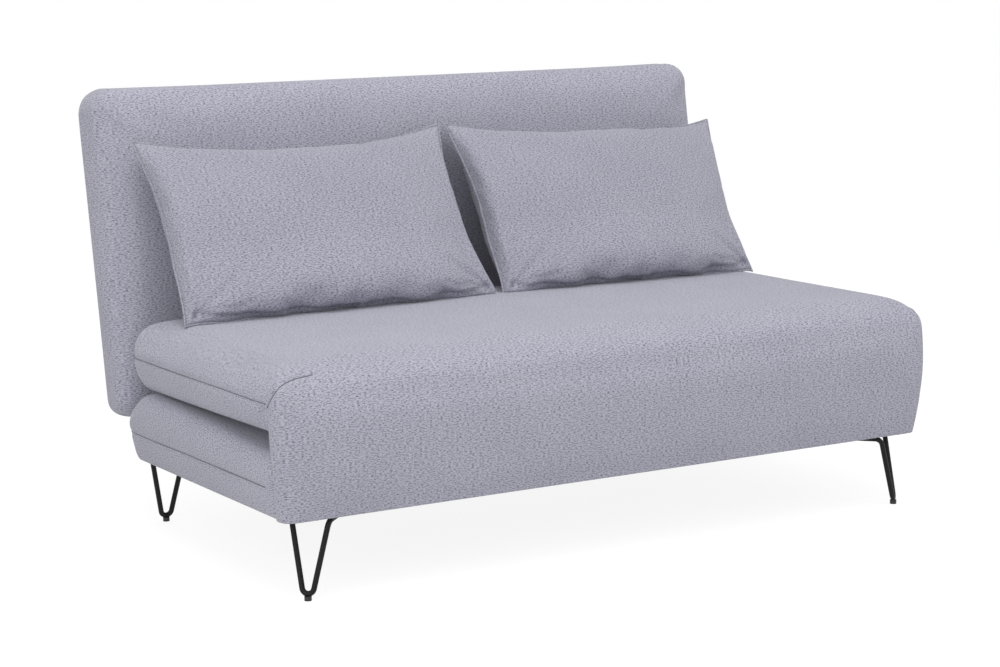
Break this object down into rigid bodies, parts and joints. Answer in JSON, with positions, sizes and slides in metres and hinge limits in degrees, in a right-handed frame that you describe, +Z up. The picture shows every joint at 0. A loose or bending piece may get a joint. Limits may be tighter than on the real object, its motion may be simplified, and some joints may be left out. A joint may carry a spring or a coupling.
{
  "type": "sofa bed",
  "caption": "Two-seat fold-out sofa bed in grey woven fabric: the seat flips forward and the backrest reclines flat, on black hairpin legs, with loose lean-back pillows",
  "frame": {"origin": "on the floor, under the middle of the sofa bed's overall width and depth, as it stands folded up as a sofa", "axes": "+X along the width to the sitter's left as seen from the front, to the right in the picture; +Y from the front to the back; +Z up"},
  "size_m": [1.42, 0.9269, 0.85],
  "materials": {
    "upholstery": "woven melange",
    "pillow_cloth": "woven melange",
    "foam": "open cell foam",
    "pillow_fibre": "loose fibre",
    "lining": "spun cloth",
    "webbing": "elastic webbing",
    "timber": "planed softwood",
    "slat_ply": "bent plywood",
    "leg_steel": "satin black paint",
    "hinge_steel": "zinc plated",
    "glide_plastic": "matt black",
    "foot_rubber": "moulded",
    "zip_metal": "brushed"
  },
  "bodies": {
    "base": {"base_cover": "upholstery", "base_foam": "foam", "base_front_rail": "timber", "base_left_rail": "timber", "base_lining": "lining", "base_middle_rail": "timber", "base_rear_rail": "timber", "base_right_rail": "timber", "base_slats": "slat_ply", "corner_blocks": "timber", "fold_leaf_base_1": "hinge_steel", "fold_leaf_base_2": "hinge_steel", "fold_leaf_base_3": "hinge_steel", "fold_pins": "hinge_steel", "fold_screws_base": "hinge_steel", "front_panel": "upholstery", "leg_front_left": "leg_steel", "leg_front_right": "leg_steel", "leg_glides": "glide_plastic", "leg_rear_left": "leg_steel", "leg_rear_right": "leg_steel", "leg_screws": "hinge_steel", "recline_arm_base_left": "hinge_steel", "recline_arm_base_right": "hinge_steel", "recline_pins": "hinge_steel"},
    "seat": {"fold_leaf_seat_1": "hinge_steel", "fold_leaf_seat_2": "hinge_steel", "fold_leaf_seat_3": "hinge_steel", "fold_screws_seat": "hinge_steel", "seat_cover": "upholstery", "seat_foam": "foam", "seat_front_rail": "timber", "seat_left_rail": "timber", "seat_middle_rail": "timber", "seat_rear_rail": "timber", "seat_right_rail": "timber", "seat_slats": "slat_ply", "support_bolts": "hinge_steel"},
    "back": {"back_bottom_rail": "timber", "back_cover": "upholstery", "back_foam": "foam", "back_left_stile": "timber", "back_middle_stile": "timber", "back_right_stile": "timber", "back_top_rail": "timber", "back_webbing": "webbing", "recline_arm_back_left": "hinge_steel", "recline_arm_back_right": "hinge_steel"},
    "support_left": {"support_leg_left": "leg_steel", "support_cap_left": "foot_rubber"},
    "pillow_left": {"pillow_cover_left": "pillow_cloth", "pillow_filling_left": "pillow_fibre", "pillow_zip_left": "zip_metal"},
    "support_right": {"support_leg_right": "leg_steel", "support_cap_right": "foot_rubber"},
    "pillow_right": {"pillow_cover_right": "pillow_cloth", "pillow_filling_right": "pillow_fibre", "pillow_zip_right": "zip_metal"}
  },
  "joints": [
    {"name": "seat_fold", "type": "hinge", "parent": "base", "child": "seat", "pos_m": [0, -0.45712, 0.285], "axis": [1, 0, 0], "range_deg": [0, 180], "deforming": ["front_panel"]},
    {"name": "back_recline", "type": "hinge", "parent": "base", "child": "back", "pos_m": [0, 0.30158, 0.235], "axis": [-1, 0, 0], "range_deg": [0, 80.5]},
    {"name": "support_left_swing", "type": "hinge", "parent": "seat", "child": "support_left", "pos_m": [-0.52, 0.24858, 0.351], "axis": [0, -1, 0], "range_deg": [0, 90]},
    {"name": "support_right_swing", "type": "hinge", "parent": "seat", "child": "support_right", "pos_m": [0.52, 0.24858, 0.351], "axis": [0, 1, 0], "range_deg": [0, 90]},
    {"name": "pillow_left_carry", "type": "hinge", "parent": "seat", "child": "pillow_left", "pos_m": [0, 0.24461, 0.37322], "axis": [1, 0, 0], "range_deg": [-238.5, 0]},
    {"name": "pillow_right_carry", "type": "hinge", "parent": "seat", "child": "pillow_right", "pos_m": [0, 0.24461, 0.37322], "axis": [1, 0, 0], "range_deg": [-238.5, 0]}
  ],
  "couplings": [
    {"joint": "support_left_swing", "follows": "seat_fold", "ratio": 0.5},
    {"joint": "support_right_swing", "follows": "seat_fold", "ratio": 0.5},
    {"joint": "pillow_left_carry", "follows": "seat_fold", "ratio": -1.3222},
    {"joint": "pillow_right_carry", "follows": "seat_fold", "ratio": -1.3222}
  ]
}
